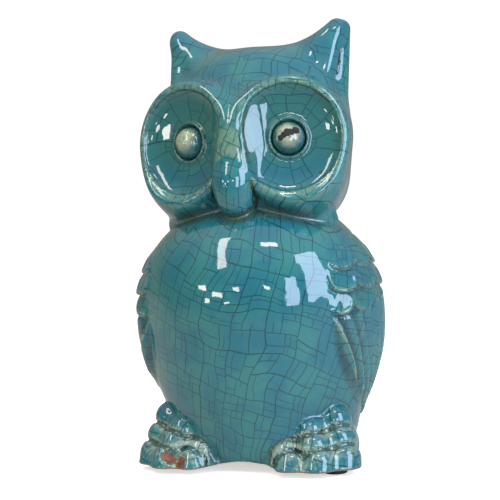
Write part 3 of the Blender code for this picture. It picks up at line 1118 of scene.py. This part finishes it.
# name, turn, rise, roll, distance, size, glow, tint
LIGHTS = (
    ("window", 62, 19, 0, 1.4, (0.60, 1.45), 9, DAYLIGHT),
    ("window_side", 36, 3, 0, 1.4, (0.30, 0.70), 9, DAYLIGHT),
    ("strip", -34, 46, 27, 1.3, (0.17, 1.0), 9, WARM),
    ("panel_1", -39, 6.5, 0, 1.3, (0.17, 0.12), 13, WARM),
    ("panel_2", -25, 0.5, 0, 1.3, (0.15, 0.10), 12, WARM),
    ("panel_3", -10, 6, 0, 1.3, (0.13, 0.08), 12, WARM),
    ("panel_4", 14, 6.5, 0, 1.6, (0.16, 0.10), 14, WARM),
    ("panel_5", 22, 62, 0, 1.3, (0.28, 0.16), 12, WARM),
    ("panel_6", -34, -5, 0, 1.3, (0.09, 0.05), 12, WARM),
    ("panel_7", -17, -7, 0, 1.3, (0.09, 0.05), 12, WARM),
)

ROOM_FRONT = (0.22, 0.22, 0.22, 1)
ROOM_BACK = (0.36, 0.33, 0.29, 1)
ROOM_CEILING = (0.75, 0.75, 0.75, 1)
SET_LIGHT = (0.62, 0.62, 0.62, 1)
SET_SEEN = (1.05, 1.05, 1.05, 1)


def towards(turn, rise):
    """The direction turned, in radians, from straight in front of the owl towards its left, and raised."""
    return Vector((math.sin(turn) * math.cos(rise), -math.cos(turn) * math.cos(rise), math.sin(rise)))


def make_camera():
    back = towards(CAMERA_TURN, CAMERA_RISE)
    right = Vector((math.cos(CAMERA_TURN), math.sin(CAMERA_TURN), 0))
    up = back.cross(right)
    data = bpy.data.cameras.new("camera")
    data.lens = CAMERA_LENS
    data.sensor_width = 36
    data.clip_start = 0.01
    camera = link("camera", data)
    aim = right * CAMERA_AIM_ASIDE + Vector((0, 0, CAMERA_AIM_HEIGHT))
    across = right * math.cos(CAMERA_ROLL) - up * math.sin(CAMERA_ROLL)
    upright = right * math.sin(CAMERA_ROLL) + up * math.cos(CAMERA_ROLL)
    facing = Matrix((across, upright, back)).transposed().to_4x4()
    camera.matrix_world = Matrix.Translation(aim + back * CAMERA_DISTANCE) @ facing
    bpy.context.scene.camera = camera


def make_floor():
    """White paper that the camera sees evenly lit, and that the glaze mirrors greyer towards the front."""
    made = bpy.data.meshes.new("floor")
    build = bmesh.new()
    corners = ((-1, FLOOR_FRONT), (1, FLOOR_FRONT), (1, FLOOR_BACK), (-1, FLOOR_BACK))
    build.faces.new([build.verts.new((x * FLOOR_SIDE, y, 0)) for x, y in corners])
    build.to_mesh(made)
    build.free()
    floor = link("floor", made)
    material, graph = new_material("paper")
    place = graph.place()
    seen = graph.node("LightPath").outputs["Is Camera Ray"]
    white = graph.mix(graph.noise(place, 900, 3.0), *PAPER)
    grey = graph.mix(graph.ramp(graph.parts(place)[1], FLOOR_FRONT, -0.02), *PAPER_MIRRORED)
    graph.shade(
        Base_Color=graph.mix(seen, grey, white),
        Roughness=0.9,
        Specular_IOR_Level=0.1,
        Emission_Color=(1.0, 0.97, 0.94, 1.0),
        Emission_Strength=graph.times(seen, 0.6),
    )
    made.materials.append(material)


def area_light(name, turn, rise, roll, distance, size, glow, tint):
    """A flat light turned and raised, in degrees, from straight in front of the owl, and rolled about the
    line to it; glow is its brightness."""
    away = towards(math.radians(turn), math.radians(rise))
    data = bpy.data.lights.new(name, "AREA")
    data.shape = "RECTANGLE"
    data.size, data.size_y = size
    data.energy = glow * math.pi * size[0] * size[1]
    data.color = tint
    light = link(name, data)
    facing = away.to_track_quat("Z", "Y").to_matrix().to_4x4()
    rolled = Matrix.Rotation(math.radians(roll), 4, "Z")
    light.matrix_world = Matrix.Translation(LIGHT_AIM + away * distance) @ facing @ rolled


def make_world():
    """A white set for the camera, and a dimmer room, warm behind the owl, for what its glaze mirrors."""
    world = bpy.data.worlds.new("studio")
    bpy.context.scene.world = world
    world.use_nodes = True
    graph = Graph(world.node_tree)
    _, y, z = graph.parts(graph.node("TexCoord").outputs["Generated"])
    path = graph.node("LightPath")
    room = graph.mix(graph.ramp(y, -0.6, 0.5), ROOM_FRONT, ROOM_BACK)
    room = graph.mix(graph.ramp(z, 0.35, 0.95), room, ROOM_CEILING)
    lit = graph.mix(path.outputs["Is Glossy Ray"], SET_LIGHT, room)
    seen = graph.mix(path.outputs["Is Camera Ray"], lit, SET_SEEN)
    graph.feed(world.node_tree.nodes["Background"].inputs["Color"], seen)
    bpy.context.scene.view_settings.view_transform = "Standard"


# ---- the scene

make_camera()
shell = make_shell()
shell.data.materials.append(glaze("glaze"))
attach(shell, "bank")
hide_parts("ceramic_shell")

for side, label in ((1, "left"), (-1, "right")):
    bead = make_bead(label + "_eye", side)
    bead.data.materials.append(bead_glaze(label + "_eye_glaze", side > 0))
    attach(bead, "bank")
    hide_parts(label + "_eye_bead")

pad_rubber = rubber("pad_rubber", PAD_BLACK)
for node in ("front_left_pad", "front_right_pad", "rear_left_pad", "rear_right_pad"):
    pad = make_pad(node)
    pad.data.materials.append(pad_rubber)
    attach(pad, "bank")
    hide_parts(node)

stopper = make_stopper()
stopper.data.materials.append(rubber("stopper_rubber", STOPPER_BLACK))
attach(stopper, "stopper")
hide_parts("stopper")

make_floor()
make_world()
for settings in LIGHTS:
    area_light(*settings)
